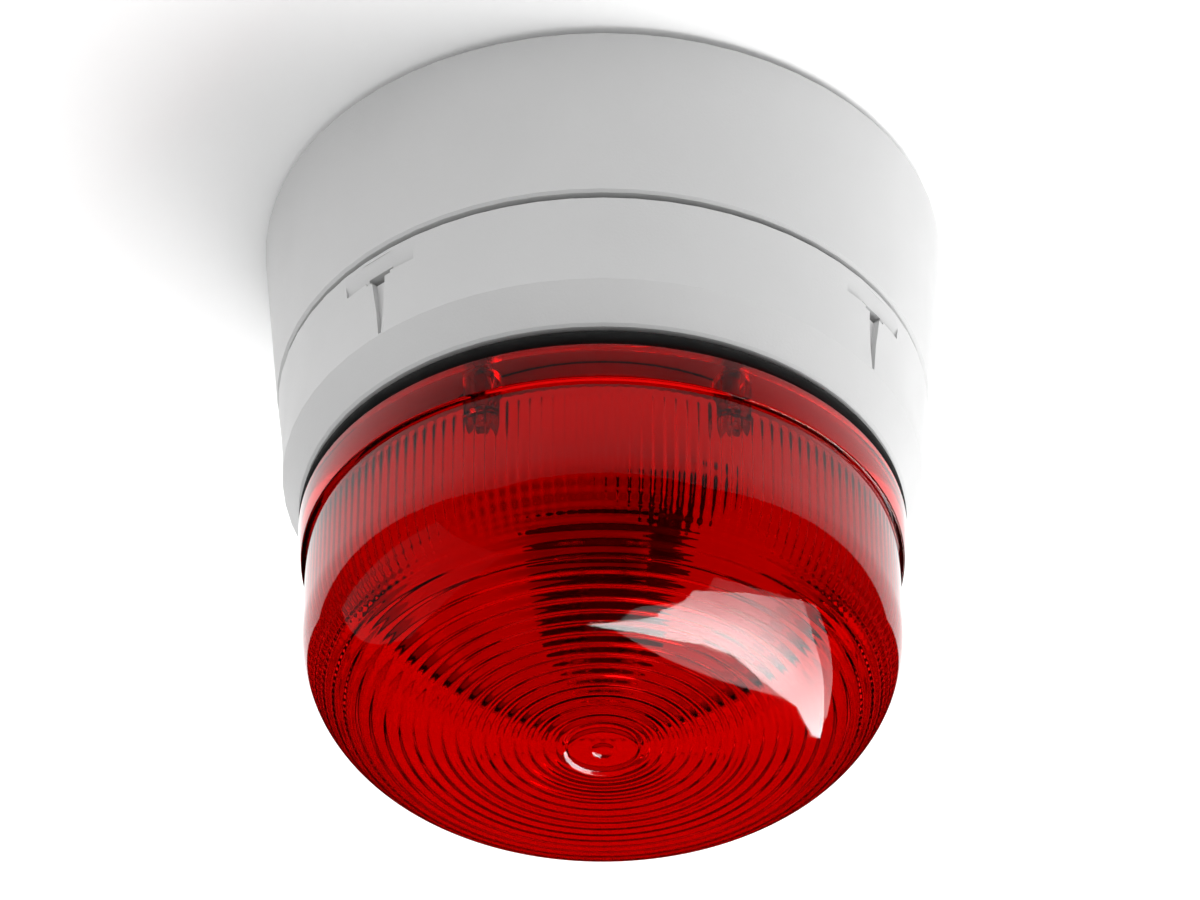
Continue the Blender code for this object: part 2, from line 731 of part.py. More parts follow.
def head_electronics():
    under = PCB_TOP - PCB_THICKNESS - 0.2
    capacitor = cylinder("storage_capacitor", 4.5, -10, 10, "black_sleeve", steps=20)
    capacitor.matrix_world = Matrix.Translation((0, 25 * MM, (under - 5.0) * MM)) @ Matrix.Rotation(
        math.radians(90), 4, "Y"
    )
    transformer = block("flash_transformer", (14, 11, 9), (0, -25.2, under - 4.7), "yellow_tape")
    join(transformer, block("transformer_core", (17, 7, 6), (0, -25.2, under - 4.7)))
    block("controller_chip", (7, 7, 1.4), (-25, 2, under - 0.8), "black_plastic")


def sounder():
    """A piezo disc held in a cup, with a resonator plate in front."""
    top = PCB_TOP - PCB_THICKNESS - 0.3
    wall = 1.5
    mouth = SOUNDER_BOTTOM + 1.4
    cup = turned(
        "sounder_cup",
        [
            (0, top),
            (SOUNDER_RADIUS, top),
            (SOUNDER_RADIUS, mouth),
            (SOUNDER_RADIUS - wall, mouth),
            (SOUNDER_RADIUS - wall, top - wall),
            (0, top - wall),
        ],
        "black_plastic",
        steps=32,
    )
    disc_z = mouth + 2.6
    disc = turned(
        "piezo_disc",
        [
            (0, disc_z + 0.8),
            (9.0, disc_z + 0.8),
            (9.0, disc_z + 0.4),
            (SOUNDER_RADIUS - wall - GAP, disc_z + 0.4),
            (SOUNDER_RADIUS - wall - GAP, disc_z),
            (0, disc_z),
        ],
        "brass",
        steps=24,
    )
    bottom = SOUNDER_BOTTOM
    plate = cylinder("resonator_plate", SOUNDER_RADIUS, bottom, mouth - 0.2, "black_plastic", steps=32)
    cut(plate, cylinder("resonator_hole", 3.5, bottom - 1, mouth + 1))
    smoothed(cup)
    smoothed(disc)
    smoothed(plate)


def strobe_board():
    top, bottom = STROBE_BOARD_TOP, STROBE_BOARD_TOP - 1.6
    board = cylinder("strobe_board", STROBE_BOARD_RADIUS, bottom, top, "circuit_board", steps=48)
    main_under = PCB_TOP - PCB_THICKNESS
    for index, azimuth in enumerate(SPACER_AZIMUTHS):
        at = around(azimuth, SPACER_RADIUS)
        cylinder(f"board_spacer_{index + 1}", 2.5, top + 0.2, main_under - 0.2, "zinc", at, steps=6)
    smoothed(board)


def trigger_coil():
    """The tube's trigger transformer, from the strobe board out through the reflector."""
    top = STROBE_BOARD_TOP - 1.8
    coil = turned(
        "trigger_coil",
        [
            (0, top),
            (3.3, top),
            (3.3, top - 1.2),
            (2.7, top - 1.8),
            (2.7, top - 13.0),
            (3.3, top - 13.6),
            (3.3, top - 15.4),
            (0, top - 15.4),
        ],
        "black_plastic",
        steps=16,
        centre=COIL_CENTRE,
    )
    smoothed(coil)


# ---------------------------------------------------------------- lens and flash


def lens_seal():
    top = LENS_SEAT[1] - GAP
    inner, outer = SEAL_RADII
    seal = turned(
        "lens_seal",
        [(outer, top), (outer, top - SEAL_THICKNESS), (inner, top - SEAL_THICKNESS), (inner, top)],
        "black_rubber",
    )
    smoothed(seal)


def lens_curve(inset):
    """Points down one side of the lens below its collar, moved inwards by inset, and ending on the axis."""
    shoulder = SHOULDER_RADIUS - inset
    centre_radius = SHOULDER_TOP_RADIUS - SHOULDER_RADIUS
    dome = centre_radius**2 + DOME_DROP**2 - SHOULDER_RADIUS**2
    dome /= 2 * (DOME_DROP - SHOULDER_RADIUS)
    dome_centre = SHOULDER_TOP - DOME_DROP + dome
    meeting = math.atan2(centre_radius, dome_centre - SHOULDER_TOP)
    points = []
    shoulder_steps, dome_steps = 6, 3
    for step in range(shoulder_steps + 1):
        angle = (math.pi / 2 - meeting) * step / shoulder_steps
        across, down = shoulder * math.cos(angle), shoulder * math.sin(angle)
        points.append((centre_radius + across, SHOULDER_TOP - down))
    for step in range(1, dome_steps + 1):
        angle = meeting * (1 - step / dome_steps)
        points.append(((dome - inset) * math.sin(angle), dome_centre - (dome - inset) * math.cos(angle)))
    points[-1] = (0, points[-1][1])
    return points


def lens():
    inner_top = LENS_TOP_RADIUS - LENS_WALL
    outside = [
        (LENS_TOP_RADIUS, LENS_TOP),
        (COLLAR_BOTTOM_RADIUS, COLLAR_BOTTOM),
        (COLLAR_BOTTOM_RADIUS - COLLAR_STEP, COLLAR_BOTTOM - 0.3),
    ] + lens_curve(0)
    inside = [(inner_top, LENS_TOP), (COLLAR_BOTTOM_RADIUS - COLLAR_STEP - LENS_WALL, COLLAR_BOTTOM)]
    inside += lens_curve(LENS_WALL)
    dome = turned("lens", inside[::-1] + outside, "red_lens")
    for index, azimuth in enumerate(LENS_SCREW_AZIMUTHS):
        at = around(azimuth, LENS_SCREW_RADIUS)
        join(dome, cylinder(f"lens_boss_{index}", 3.4, LENS_BOSS_BOTTOM, LENS_TOP, centre=at, steps=12))
        pilot = cylinder(f"lens_pilot_{index}", 1.6, LENS_BOSS_BOTTOM + 1, LENS_TOP + 1, centre=at, steps=8)
        cut(dome, pilot)
    smoothed(dome)


def lens_screws():
    floor_top = LENS_SEAT[1] + FLOOR_THICKNESS
    for index, azimuth in enumerate(LENS_SCREW_AZIMUTHS):
        at = around(azimuth, LENS_SCREW_RADIUS)
        screw(f"lens_screw_{index + 1}", 2.7, (floor_top + 1.9, floor_top + 0.3), 1.2, -59, centre=at)


def reflector():
    """A white dish behind the flash tube, with a hollow tower that carries the tube's socket."""
    top = REFLECTOR_TOP
    wall = 1.2
    tower = (9.0, 7.8)
    tower_end = SOCKET_TOP + 0.3
    dish = turned(
        "reflector",
        [
            (tower[0] - wall, top),
            (REFLECTOR_RADIUS, top),
            (REFLECTOR_RADIUS, top - 3.0),
            (REFLECTOR_RADIUS - wall, top - 3.0),
            (REFLECTOR_RADIUS - 3.4, top - wall),
            (tower[0] + 1.2, top - wall),
            (tower[0], top - wall - 1.2),
            (tower[1], tower_end),
            (tower[1] - wall, tower_end),
        ],
        "bright_white",
        steps=48,
    )
    cut(dish, cylinder("coil_clearance", 3.7, top - 5, top + 1, centre=COIL_CENTRE))
    smoothed(dish)


def flash_tube():
    """A U-shaped xenon tube in a dark socket, whose stem goes up through the reflector."""
    stem_top = STROBE_BOARD_TOP - 1.8
    socket = turned(
        "tube_socket",
        [
            (0, stem_top),
            (5.5, stem_top),
            (5.5, SOCKET_TOP),
            (SOCKET_RADIUS, SOCKET_TOP),
            (SOCKET_RADIUS, SOCKET_BOTTOM + 0.6),
            (SOCKET_RADIUS - 0.6, SOCKET_BOTTOM),
            (0, SOCKET_BOTTOM),
        ],
        "black_plastic",
        steps=32,
    )
    leg_end = SOCKET_BOTTOM - 0.2
    bend = TUBE_BOTTOM + TUBE_RADIUS + TUBE_LEG_X
    steps = 8
    path = [(-TUBE_LEG_X, leg_end)]
    for step in range(steps + 1):
        angle = math.pi * step / steps
        path.append((-TUBE_LEG_X * math.cos(angle), bend - TUBE_LEG_X * math.sin(angle)))
    path.append((TUBE_LEG_X, leg_end))
    curve = bpy.data.curves.new("flash_tube", "CURVE")
    curve.dimensions = "3D"
    curve.bevel_depth = TUBE_RADIUS * MM
    curve.bevel_resolution = 3
    curve.use_fill_caps = True
    spline = curve.splines.new("POLY")
    spline.points.add(len(path) - 1)
    for point, (x, z) in zip(spline.points, path):
        point.co = (x * MM, 0, z * MM, 1)
    tube = bpy.data.objects.new("flash_tube", curve)
    curve.materials.append(FINISHES["clear_glass"])
    PARTS.objects.link(tube)
    smoothed(socket)


# ---------------------------------------------------------------- assembly

for leftover in list(bpy.data.objects):
    bpy.data.objects.remove(leftover, do_unlink=True)

PARTS = collection("horn_strobe")
CUTTERS = collection("cutters")
FINISHES = {
    "white_plastic": material("white_plastic", (0.80, 0.80, 0.80), 0.42),
    "bright_white": material("bright_white", (0.90, 0.90, 0.90), 0.30),
    "red_lens": material("red_lens", (0.75, 0.0, 0.005), 0.06),
    "black_rubber": material("black_rubber", (0.02, 0.02, 0.02), 0.70),
    "black_plastic": material("black_plastic", (0.03, 0.03, 0.03), 0.45),
    "black_sleeve": material("black_sleeve", (0.02, 0.02, 0.03), 0.35),
    "grey_plastic": material("grey_plastic", (0.62, 0.62, 0.61), 0.45),
    "green_plastic": material("green_plastic", (0.05, 0.30, 0.12), 0.45),
    "blue_plastic": material("blue_plastic", (0.03, 0.10, 0.42), 0.40),
    "yellow_tape": material("yellow_tape", (0.75, 0.55, 0.05), 0.50),
    "circuit_board": material("circuit_board", (0.02, 0.16, 0.07), 0.45),
    "zinc": material("zinc", (0.70, 0.70, 0.68), 0.30, 1.0),
    "brass": material("brass", (0.78, 0.60, 0.28), 0.30, 1.0),
    "clear_glass": material("clear_glass", (0.92, 0.94, 0.95), 0.05),
}
HEAD_PIVOT = bpy.data.objects.new("head_pivot", None)
PARTS.objects.link(HEAD_PIVOT)

mounting_base()
for conduit_side in CONDUIT_AZIMUTHS:
    conduit_plug(conduit_side)
cable_grommet()
bayonet_ring()
ring_screws()
terminal_board()
terminal_block()
contact_springs()
base_nodes = set(PARTS.objects)

body_housing()
back_cover()
head_screws()
main_board()
contact_pins()
tone_switch()
volume_trimmer()
head_electronics()
sounder()
strobe_board()
trigger_coil()
lens_seal()
lens()
lens_screws()
reflector()
flash_tube()
for node in set(PARTS.objects) - base_nodes - {HEAD_PIVOT}:
    node.parent = HEAD_PIVOT
bpy.context.view_layer.update()
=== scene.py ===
"""Looks of the ceiling horn strobe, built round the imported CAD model.

Lengths are metres in the CAD frame. The origin is the middle of the face against the ceiling,
+Z is up and -Y is the front.
"""

import json
import math

import bmesh
import bpy
import numpy as np
from mathutils import Matrix, Vector


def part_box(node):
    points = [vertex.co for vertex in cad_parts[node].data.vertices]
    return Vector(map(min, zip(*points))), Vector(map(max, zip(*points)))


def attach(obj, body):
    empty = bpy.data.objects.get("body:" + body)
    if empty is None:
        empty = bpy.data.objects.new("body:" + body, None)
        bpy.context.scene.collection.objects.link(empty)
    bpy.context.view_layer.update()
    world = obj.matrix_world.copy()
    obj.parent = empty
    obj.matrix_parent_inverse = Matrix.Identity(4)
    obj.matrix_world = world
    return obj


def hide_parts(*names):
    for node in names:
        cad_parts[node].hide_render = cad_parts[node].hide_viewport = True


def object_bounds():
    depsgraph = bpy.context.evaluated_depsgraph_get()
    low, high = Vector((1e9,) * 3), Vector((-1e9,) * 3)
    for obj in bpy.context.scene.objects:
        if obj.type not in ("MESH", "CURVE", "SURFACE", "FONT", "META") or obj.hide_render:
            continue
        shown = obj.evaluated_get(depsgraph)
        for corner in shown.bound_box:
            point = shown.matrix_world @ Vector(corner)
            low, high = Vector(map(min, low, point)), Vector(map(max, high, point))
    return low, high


MM = 0.001

# Camera, in front of and below the device
CAMERA_LENS = 166.3
CAMERA_PITCH = 38.7
CAMERA_PLACE = (-0.0004, -0.625, -0.538)

# Lens, below its plain collar
COLLAR_BOTTOM = -58.9 * MM
COLLAR_TAPER = 0.5 * MM
COLLAR_CORNER = 0.25 * MM
WALL = 2.2 * MM
SHOULDER_TOP = -71.6 * MM
SHOULDER_TOP_RADIUS = 42.2 * MM
SHOULDER_RADIUS = 16.5 * MM
RIBS = 160
LENS_SIDES = 4 * RIBS
INSIDE_STEPS = 240
OUTSIDE_STEPS = 170
RIB_HEIGHT = 0.32 * MM
RING_PITCH = 2.0 * MM
RING_HEIGHT = 0.25 * MM
EYE_RADIUS = 5.7 * MM
EYE_HEIGHT = 0.4 * MM
EYE_RECESS = 0.35 * MM
GATE_RADIUS = 1.8 * MM
GATE_RECESS = 0.25 * MM
POST_RADIUS = 38.0 * MM
POST_BOTTOM = -61.0 * MM
POST_AZIMUTHS = (-25, 27, 155, 205)
POST_OUTER = 2.6 * MM
POST_BORE = 1.6 * MM
POST_VENT = 0.2 * MM
POST_FLOOR = 1.5 * MM

# Ring between the reflector's rim and the housing's opening
SKIRT_WALL = 0.35 * MM
SKIRT_GAP = 0.1 * MM

# Key light
KEY_DIRECTION = (0.516, 0.332, -0.80)
KEY_SIZE = (1.12, 0.86)
KEY_SPIN = -2.0
KEY_DISTANCE = 1.2
KEY_POWER = 20.0

# Panel that makes the glint. Its strength goes from the first to the second between two heights on it,
# because a flatter angle makes the lens reflect more there.
GLINT_STRENGTHS = (50.0, 22.0)
GLINT_FALL = (-0.15, 0.15)
GLINT_OUTLINE = (
    (0.60, -0.49),
    (0.44, -0.36),
    (0.27, -0.40),
    (-0.17, -0.48),
    (-0.42, -0.21),
    (-0.58, 0.28),
    (-0.09, 0.26),
    (0.47, 0.36),
    (0.70, 0.45),
    (0.72, 0.36),
    (0.59, 0.20),
    (0.46, -0.09),
    (0.46, -0.19),
    (0.52, -0.35),
)

# Other lights: direction from the device, distance, size and power
FILL = ((-1.0, -0.1, -0.5), 1.5, (1.6, 1.6), 4.5)
TOP = ((0.3, -0.5, 0.8), 1.6, (1.2, 1.2), 12.0)
ROOM_COLOUR = (0.97, 0.98, 1.0, 1.0)
ROOM_STRENGTH = 0.38

# Stage
CEILING_SIZE = 8.0
CEILING_SINK = 0.40 * MM
CEILING_GLOW = 0.04
NEAR_CEILING_SIZE = 0.42
NEAR_CEILING_SINK = 0.42 * MM
NEAR_CEILING_Y = -0.09
FLOOR_SIZE = 12.0
FLOOR_LEVEL = -2.4
FLOOR_GLOW = 0.30

# Flash tube
TUBE_LEG_X = 4.2 * MM
TUBE_RADIUS = 2.0 * MM
TUBE_BORE = 1.35 * MM
WIRE_RADIUS = 0.13 * MM
WIRE_TURNS = 7

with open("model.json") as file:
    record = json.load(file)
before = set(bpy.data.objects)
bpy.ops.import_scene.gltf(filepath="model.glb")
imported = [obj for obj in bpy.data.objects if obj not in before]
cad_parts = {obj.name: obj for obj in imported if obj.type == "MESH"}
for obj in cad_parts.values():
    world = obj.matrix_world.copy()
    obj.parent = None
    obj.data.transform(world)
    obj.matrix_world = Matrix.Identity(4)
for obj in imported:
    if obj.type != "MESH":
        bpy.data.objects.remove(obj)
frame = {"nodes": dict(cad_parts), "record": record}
cad_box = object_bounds()


# ---------------------------------------------------------------- materials


class Surface:
    """A Principled material, with short calls that wire its procedural textures in object space."""

    def __init__(self, name, colour, roughness, metallic=0.0):
        self.material = bpy.data.materials.new(name)
        self.material.use_nodes = True
        self.nodes = self.material.node_tree.nodes
        self.links = self.material.node_tree.links
        self.shader = self.nodes["Principled BSDF"]
        self.shader.inputs["Base Color"].default_value = (*colour, 1.0)
        self.shader.inputs["Roughness"].default_value = roughness
        self.shader.inputs["Metallic"].default_value = metallic
        self.colour = colour
        self.roughness = roughness
        self.place = self.nodes.new("ShaderNodeTexCoord").outputs["Object"]
        self.normal = None

    def set(self, **values):
        for name, value in values.items():
            self.shader.inputs[name.replace("_", " ")].default_value = value
        return self

    def stretched(self, scale):
        mapping = self.nodes.new("ShaderNodeMapping")
        mapping.inputs["Scale"].default_value = scale
        self.links.new(self.place, mapping.inputs["Vector"])
        return mapping.outputs["Vector"]

    def noise(self, scale, detail=2.0, stretch=None):
        texture = self.nodes.new("ShaderNodeTexNoise")
        texture.inputs["Scale"].default_value = scale
        texture.inputs["Detail"].default_value = detail
        self.links.new(self.stretched(stretch) if stretch else self.place, texture.inputs["Vector"])
        return texture.outputs["Fac"]

    def ranged(self, value, low, high, start=0.3, end=0.7):
        """The value mapped from start..end to low..high, and held at its ends."""
        change = self.nodes.new("ShaderNodeMapRange")
        change.inputs["From Min"].default_value = start
        change.inputs["From Max"].default_value = end
        change.inputs["To Min"].default_value = low
        change.inputs["To Max"].default_value = high
        self.links.new(value, change.inputs["Value"])
        return change.outputs["Result"]

    def mixed(self, factor, first, second):
        mix = self.nodes.new("ShaderNodeMix")
        mix.data_type = "RGBA"
        mix.inputs["A"].default_value = (*first, 1.0)
        mix.inputs["B"].default_value = (*second, 1.0)
        self.links.new(factor, mix.inputs["Factor"])
        return mix.outputs["Result"]

    def blend(self, factor, other):
        """Shows this surface where the factor is 0 and the other shader where it is 1."""
        mix = self.nodes.new("ShaderNodeMixShader")
        self.links.new(factor, mix.inputs["Fac"])
        self.links.new(self.shader.outputs["BSDF"], mix.inputs[1])
        self.links.new(other.outputs["BSDF"], mix.inputs[2])
        self.links.new(mix.outputs["Shader"], self.nodes["Material Output"].inputs["Surface"])

    def tint(self, share, scale, detail=3.0, stretch=None):
        """Lets the colour drift by this share either way."""
        light = [min(1.0, c * (1 + share)) for c in self.colour]
        dark = [c * (1 - share) for c in self.colour]
        factor = self.ranged(self.noise(scale, detail, stretch), 0.0, 1.0)
        self.links.new(self.mixed(factor, dark, light), self.shader.inputs["Base Color"])
        return self

    def gloss(self, spread, scale, detail=3.0, stretch=None):
        low, high = self.roughness - spread, self.roughness + spread
        value = self.ranged(self.noise(scale, detail, stretch), low, high)
        self.links.new(value, self.shader.inputs["Roughness"])
        return self

    def bump(self, height, scale, detail=2.0, stretch=None):
        """Adds grain of this height in metres."""
        bump = self.nodes.new("ShaderNodeBump")
        bump.inputs["Strength"].default_value = 1.0
        bump.inputs["Distance"].default_value = height
        self.links.new(self.noise(scale, detail, stretch), bump.inputs["Height"])
        if self.normal is not None:
            self.links.new(self.normal, bump.inputs["Normal"])
        self.normal = bump.outputs["Normal"]
        self.links.new(self.normal, self.shader.inputs["Normal"])
        return self


def white_plastic():
    surface = Surface("white_plastic", (0.56, 0.56, 0.56), 0.42)
    surface.tint(0.015, 60).gloss(0.05, 90).bump(0.02 * MM, 2600).bump(0.05 * MM, 130)
    return surface.material


def bright_white():
    surface = Surface("bright_white", (0.90, 0.90, 0.90), 0.28)
    surface.tint(0.01, 80).gloss(0.05, 120).bump(0.01 * MM, 900)
    return surface.material


def red_lens():
    """Clear red plastic. A lamp's light passes straight through one wall of it, tinted, but not two."""
    surface = Surface("red_lens", (0.61, 0.002, 0.002), 0.03)
    surface.set(Transmission_Weight=1.0, IOR=1.58, Specular_Tint=(0.05, 0.05, 0.05, 1.0))
    surface.gloss(0.012, 160).bump(0.02 * MM, 45)
    path = surface.nodes.new("ShaderNodeLightPath")
    first_wall = surface.nodes.new("ShaderNodeMath")
    first_wall.operation = "LESS_THAN"
    first_wall.inputs[1].default_value = 1.5
    surface.links.new(path.outputs["Transparent Depth"], first_wall.inputs[0])
    tint = surface.mixed(first_wall.outputs["Value"], (0, 0, 0), (0.62, 0.01, 0.01))
    straight = surface.nodes.new("ShaderNodeBsdfTransparent")
    surface.links.new(tint, straight.inputs["Color"])
    soft = surface.nodes.new("ShaderNodeMath")
    soft.operation = "MAXIMUM"
    surface.links.new(path.outputs["Is Shadow Ray"], soft.inputs[0])
    surface.links.new(path.outputs["Is Diffuse Ray"], soft.inputs[1])
    surface.blend(soft.outputs["Value"], straight)
    return surface.material


def clear_glass():
    surface = Surface("clear_glass", (0.96, 0.97, 0.98), 0.02)
    surface.set(Transmission_Weight=1.0, IOR=1.47)
    surface.gloss(0.01, 300)
    return surface.material


def black_rubber():
    surface = Surface("black_rubber", (0.006, 0.006, 0.006), 0.7)
    surface.set(Specular_IOR_Level=0.15)
    surface.tint(0.2, 200).gloss(0.08, 300).bump(0.02 * MM, 3000)
    return surface.material


def black_plastic():
    surface = Surface("black_plastic", (0.02, 0.02, 0.02), 0.40)
    surface.tint(0.2, 150).gloss(0.08, 200).bump(0.015 * MM, 2500)
    return surface.material


def black_sleeve():
    surface = Surface("black_sleeve", (0.015, 0.016, 0.03), 0.28)
    surface.tint(0.25, 90, stretch=(0.2, 1, 1)).gloss(0.06, 150)
    surface.bump(0.04 * MM, 260, stretch=(0.15, 1, 1))
    return surface.material


def grey_plastic():
    surface = Surface("grey_plastic", (0.60, 0.60, 0.59), 0.45)
    surface.tint(0.02, 70).gloss(0.05, 90).bump(0.02 * MM, 2600)
    return surface.material


def green_plastic():
    surface = Surface("green_plastic", (0.03, 0.24, 0.09), 0.42)
    surface.tint(0.06, 120).gloss(0.06, 150).bump(0.02 * MM, 1800)
    return surface.material


def blue_plastic():
    surface = Surface("blue_plastic", (0.02, 0.08, 0.38), 0.38)
    surface.tint(0.06, 150).gloss(0.06, 200).bump(0.015 * MM, 2200)
    return surface.material


def yellow_tape():
    """Turns of polyester tape over a coil."""
    surface = Surface("yellow_tape", (0.72, 0.50, 0.04), 0.35)
    surface.tint(0.12, 420, stretch=(1, 0.05, 0.05)).gloss(0.06, 200)
    surface.bump(0.05 * MM, 520, stretch=(1, 0.05, 0.05))
    return surface.material


def circuit_board():
    """Green solder mask, with copper tracks showing through as straight paler bands."""
    surface = Surface("circuit_board", (0.012, 0.13, 0.045), 0.35)
    tracks = surface.nodes.new("ShaderNodeTexBrick")
    tracks.inputs["Scale"].default_value = 55.0
    tracks.inputs["Mortar Size"].default_value = 0.06
    tracks.inputs["Mortar Smooth"].default_value = 0.1
    tracks.inputs["Color1"].default_value = (0.010, 0.11, 0.040, 1.0)
    tracks.inputs["Color2"].default_value = (0.014, 0.14, 0.050, 1.0)
    tracks.inputs["Mortar"].default_value = (0.06, 0.26, 0.08, 1.0)
    surface.links.new(surface.place, tracks.inputs["Vector"])
    surface.links.new(tracks.outputs["Color"], surface.shader.inputs["Base Color"])
    surface.gloss(0.06, 200).bump(0.02 * MM, 700)
    return surface.material


def zinc():
    surface = Surface("zinc", (0.68, 0.69, 0.70), 0.30, 1.0)
    surface.tint(0.08, 250).gloss(0.08, 400).bump(0.01 * MM, 1500, stretch=(1, 1, 0.2))
    return surface.material


def brass():
    surface = Surface("brass", (0.75, 0.55, 0.23), 0.28, 1.0)
    surface.tint(0.10, 220).gloss(0.08, 300).bump(0.008 * MM, 1600)
    return surface.material


MATERIALS = {
    make.__name__: make()
    for make in (
        white_plastic,
        bright_white,
        red_lens,
        clear_glass,
        black_rubber,
        black_plastic,
        black_sleeve,
        grey_plastic,
        green_plastic,
        blue_plastic,
        yellow_tape,
        circuit_board,
        zinc,
        brass,
    )
}


# ---------------------------------------------------------------- pieces


def around(azimuth, radius):
    """The point at this azimuth, from the front towards +X, and distance from the device's axis."""
    angle = math.radians(azimuth)
    return Vector((radius * math.sin(angle), -radius * math.cos(angle), 0))


def piece(name, mesh, slot, body, stands_for=()):
    made = bpy.data.objects.new(name, mesh)
    bpy.context.scene.collection.objects.link(made)
    mesh.materials.append(MATERIALS[slot])
    mesh.shade_smooth()
    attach(made, body)
    if stands_for:
        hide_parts(*stands_for)
    return made


def grid_mesh(name, rows, poles=()):
    """A closed mesh from rows of points that go round the Z axis. A row listed in poles is one point."""
    vertices, starts = [], []
    for index, row in enumerate(rows):
        starts.append(len(vertices))
        vertices += [tuple(row[0])] if index in poles else [tuple(point) for point in row]
    around_count = max(len(row) for row in rows)
    faces = []
    for index in range(len(rows) if not poles else len(rows) - 1):
        following = (index + 1) % len(rows)
        for step in range(around_count):
            after = (step + 1) % around_count
            first = [starts[index] + step, starts[index] + after]
            second = [starts[following] + after, starts[following] + step]
            if index in poles:
                first = [starts[index]]
            if following in poles:
                second = [starts[following]]
            faces.append(first + second)
    mesh = bpy.data.meshes.new(name)
    mesh.from_pydata(vertices, [], faces)
    bm = bmesh.new()
    bm.from_mesh(mesh)
    bmesh.ops.recalc_face_normals(bm, faces=bm.faces)
    bm.to_mesh(mesh)
    bm.free()
    return mesh


def circle_rows(profile, steps, centre=Vector()):
    """Each (radius, z) of a closed profile as a row of points round the Z axis."""
    turns = [2 * math.pi * step / steps for step in range(steps)]
    return [
        [(centre.x + radius * math.cos(t), centre.y + radius * math.sin(t), z) for t in turns]
        for radius, z in profile
    ]


def arc(centre, radius, start, end, steps):
    """Points of an arc in the (radius, z) plane, with angles in degrees from outwards."""
    points = []
    for step in range(steps + 1):
        angle = math.radians(start + (end - start) * step / steps)
        points.append((centre[0] + radius * math.cos(angle), centre[1] + radius * math.sin(angle)))
    return points


def fade(value, start, end):
    """0 up to start, 1 from end on, and smooth between."""
    share = np.clip((value - start) / (end - start), 0, 1)
    return share * share * (3 - 2 * share)


# ---------------------------------------------------------------- lens


def lens_curve(apex, inset, samples):
    """The lens's outline from its axis up, moved inwards by inset: a dome, a shoulder and a wall.

    It is arrays r, z, nr, nz and s in even steps, then the dome's and the shoulder's lengths. nr and nz
    point inwards, and s is the length along the outline from the axis.
    """
    drop = SHOULDER_TOP - apex
    middle = SHOULDER_TOP_RADIUS - SHOULDER_RADIUS
    dome = (middle**2 + drop**2 - SHOULDER_RADIUS**2) / (2 * (drop - SHOULDER_RADIUS))
    dome_z = apex + dome
    meeting = math.atan2(middle, dome_z - SHOULDER_TOP)
    dome_length = (dome - inset) * meeting
    shoulder_length = (SHOULDER_RADIUS - inset) * (math.pi / 2 - meeting)
    wall_length = COLLAR_BOTTOM - SHOULDER_TOP
    s = np.linspace(0, dome_length + shoulder_length + wall_length, samples)
    on_dome = s <= dome_length
    on_wall = s > dome_length + shoulder_length
    dome_angle = s / (dome - inset)
    shoulder_angle = np.clip(meeting + (s - dome_length) / (SHOULDER_RADIUS - inset), meeting, math.pi / 2)
    angle = np.where(on_dome, dome_angle, shoulder_angle)
    r = np.where(
        on_dome,
        (dome - inset) * np.sin(angle),
        middle + (SHOULDER_RADIUS - inset) * np.sin(angle),
    )
    z = np.where(
        on_dome,
        dome_z - (dome - inset) * np.cos(angle),
        SHOULDER_TOP - (SHOULDER_RADIUS - inset) * np.cos(angle),
    )
    z = np.where(on_wall, SHOULDER_TOP + (s - dome_length - shoulder_length), z)
    return r, z, -np.sin(angle), np.cos(angle), s, dome_length, shoulder_length


def lens_inside(apex):
    """Rows of the inner surface from the axis up: a centre eye, rings, and ribs on the upright wall."""
    r, z, nr, nz, s, dome_length, shoulder_length = lens_curve(apex, WALL, INSIDE_STEPS)
    turns = np.arange(LENS_SIDES) * (2 * math.pi / LENS_SIDES)
    shoulder_end = dome_length + shoulder_length
    ribs_from = dome_length + 0.45 * shoulder_length
    rib_share = fade(s, ribs_from, shoulder_end - 0.1 * shoulder_length)
    rib_share *= 1 - fade(s, s[-1] - 1.2 * MM, s[-1] - 0.2 * MM)
    ring_share = fade(s, EYE_RADIUS + 0.2 * MM, EYE_RADIUS + 1.2 * MM)
    ring_share *= 1 - fade(s, ribs_from, shoulder_end)
    ring = RING_HEIGHT * (0.5 - 0.5 * np.cos(2 * math.pi * (s - EYE_RADIUS) / RING_PITCH)) * ring_share
    eye = EYE_HEIGHT * (1 - fade(s, EYE_RADIUS - 0.5 * MM, EYE_RADIUS))
    rib = RIB_HEIGHT * (0.5 - 0.5 * np.cos(RIBS * turns))
    rows = []
    for index in range(len(s)):
        height = ring[index] + eye[index] + rib * rib_share[index]
        radius = r[index] + nr[index] * height
        level = z[index] + nz[index] * height
        rows.append(np.stack([radius * np.cos(turns), radius * np.sin(turns), level], axis=1).tolist())
    return rows


